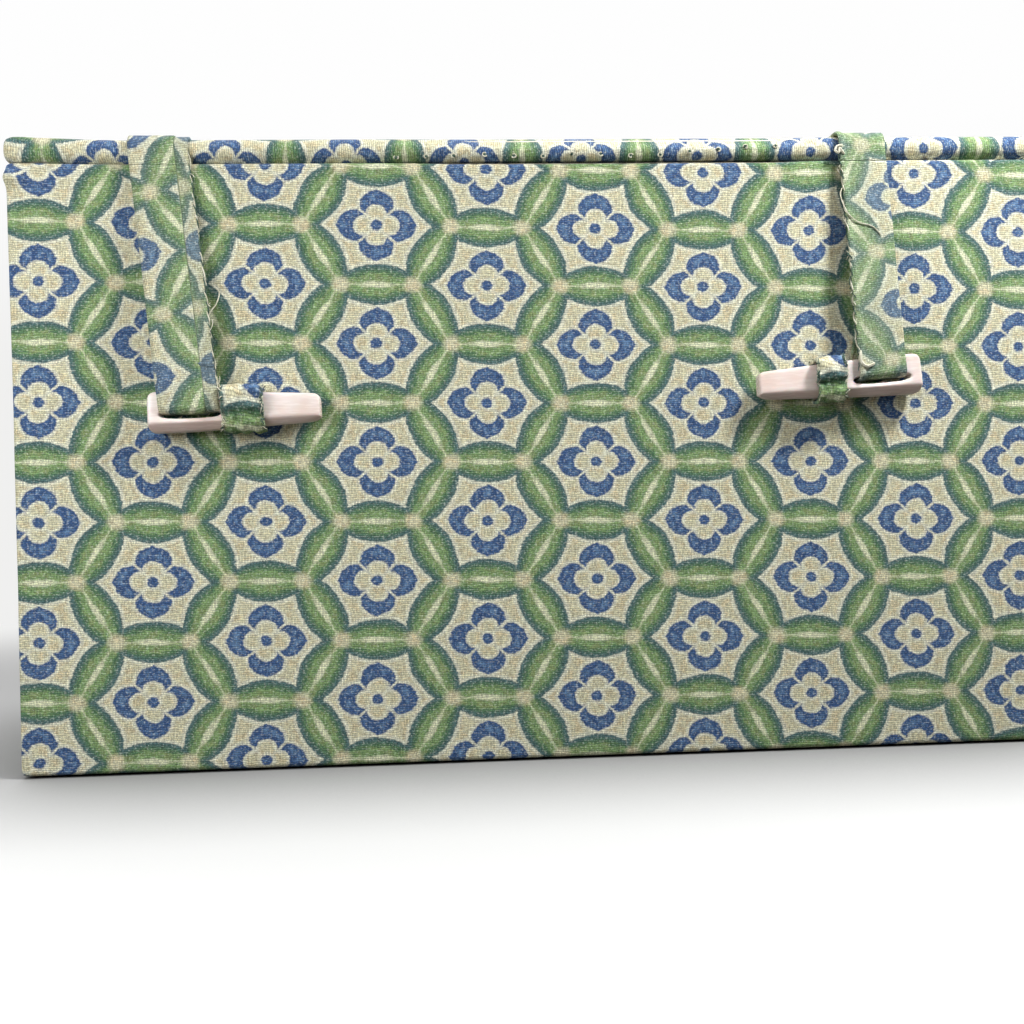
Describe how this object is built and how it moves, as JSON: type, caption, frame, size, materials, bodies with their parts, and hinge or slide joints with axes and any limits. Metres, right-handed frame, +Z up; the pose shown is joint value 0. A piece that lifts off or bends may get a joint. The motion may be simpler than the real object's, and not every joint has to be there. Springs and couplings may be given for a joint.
{
  "type": "photo storage box",
  "caption": "Upright cloth-covered box for photo prints: board walls in printed cotton, padded hinged lid, and cloth straps with slotted peg clasps held in loops on the front.",
  "frame": {"origin": "middle of the face that the box rests on", "axes": "+X along the width, to the right as seen from the front; the front with the clasps faces -Y; +Z up"},
  "size_m": [0.28, 0.1289, 0.1661],
  "materials": {
    "board": "raw grey-board",
    "printed_cotton": "plain-woven cotton, printed with a green leaf lattice and blue flowers on cream",
    "strap_cotton": "the same printed cotton, folded in narrow bands",
    "base_cloth": "plain cream cotton",
    "wadding": "thin felted wadding",
    "lining_paper": "matt cream paper",
    "clasp": "pinkish-white bone-like plastic, polished"
  },
  "bodies": {
    "box": {"base_board": "board", "base_cover": "base_cloth", "front_board": "board", "back_board": "board", "left_board": "board", "right_board": "board", "wall_cover": "printed_cotton", "base_lining": "lining_paper", "front_lining": "lining_paper", "back_lining": "lining_paper", "left_lining": "lining_paper", "right_lining": "lining_paper", "hinge_cloth": "printed_cotton", "clasp_loop_left": "strap_cotton", "clasp_loop_right": "strap_cotton"},
    "lid": {"lid_board": "board", "lid_wadding": "wadding", "lid_cover": "printed_cotton", "lid_lining": "lining_paper", "strap_anchor_left": "strap_cotton", "strap_anchor_right": "strap_cotton"},
    "strap_left": {"strap_left": "strap_cotton"},
    "strap_end_left": {"strap_end_left": "strap_cotton"},
    "clasp_left": {"clasp_left": "clasp"},
    "strap_right": {"strap_right": "strap_cotton"},
    "strap_end_right": {"strap_end_right": "strap_cotton"},
    "clasp_right": {"clasp_right": "clasp"}
  },
  "joints": [
    {"name": "lid_hinge", "type": "hinge", "parent": "box", "child": "lid", "pos_m": [0, 0.0605, 0.15835], "axis": [-1, 0, 0], "range_deg": [0, 170], "deforming": ["hinge_cloth"]},
    {"name": "strap_left_swing", "type": "hinge", "parent": "lid", "child": "strap_left", "pos_m": [-0.1017, -0.0566, 0.1654], "axis": [-1, 0, 0], "range_deg": [0, 180], "deforming": ["strap_left"]},
    {"name": "clasp_left_slide", "type": "slide", "parent": "strap_left", "child": "strap_end_left", "axis": [-0.9999, 0, -0.0157], "range_m": [0, 0.0251], "deforming": ["clasp_loop_left"]},
    {"name": "clasp_left_turn", "type": "hinge", "parent": "strap_end_left", "child": "clasp_left", "pos_m": [-0.09375, -0.0642, 0.09587], "axis": [-0.9999, 0, -0.0157], "range_deg": [0, 95], "deforming": ["strap_end_left"]},
    {"name": "strap_right_swing", "type": "hinge", "parent": "lid", "child": "strap_right", "pos_m": [0.0839, -0.0566, 0.1654], "axis": [-1, 0, 0], "range_deg": [0, 180], "deforming": ["strap_right"]},
    {"name": "clasp_right_slide", "type": "slide", "parent": "strap_right", "child": "strap_end_right", "axis": [0.998, 0, 0.0628], "range_m": [0, 0.0231], "deforming": ["clasp_loop_right"]},
    {"name": "clasp_right_turn", "type": "hinge", "parent": "strap_end_right", "child": "clasp_right", "pos_m": [0.08565, -0.0642, 0.10182], "axis": [-0.998, 0, -0.0628], "range_deg": [0, 95], "deforming": ["strap_end_right"]}
  ]
}
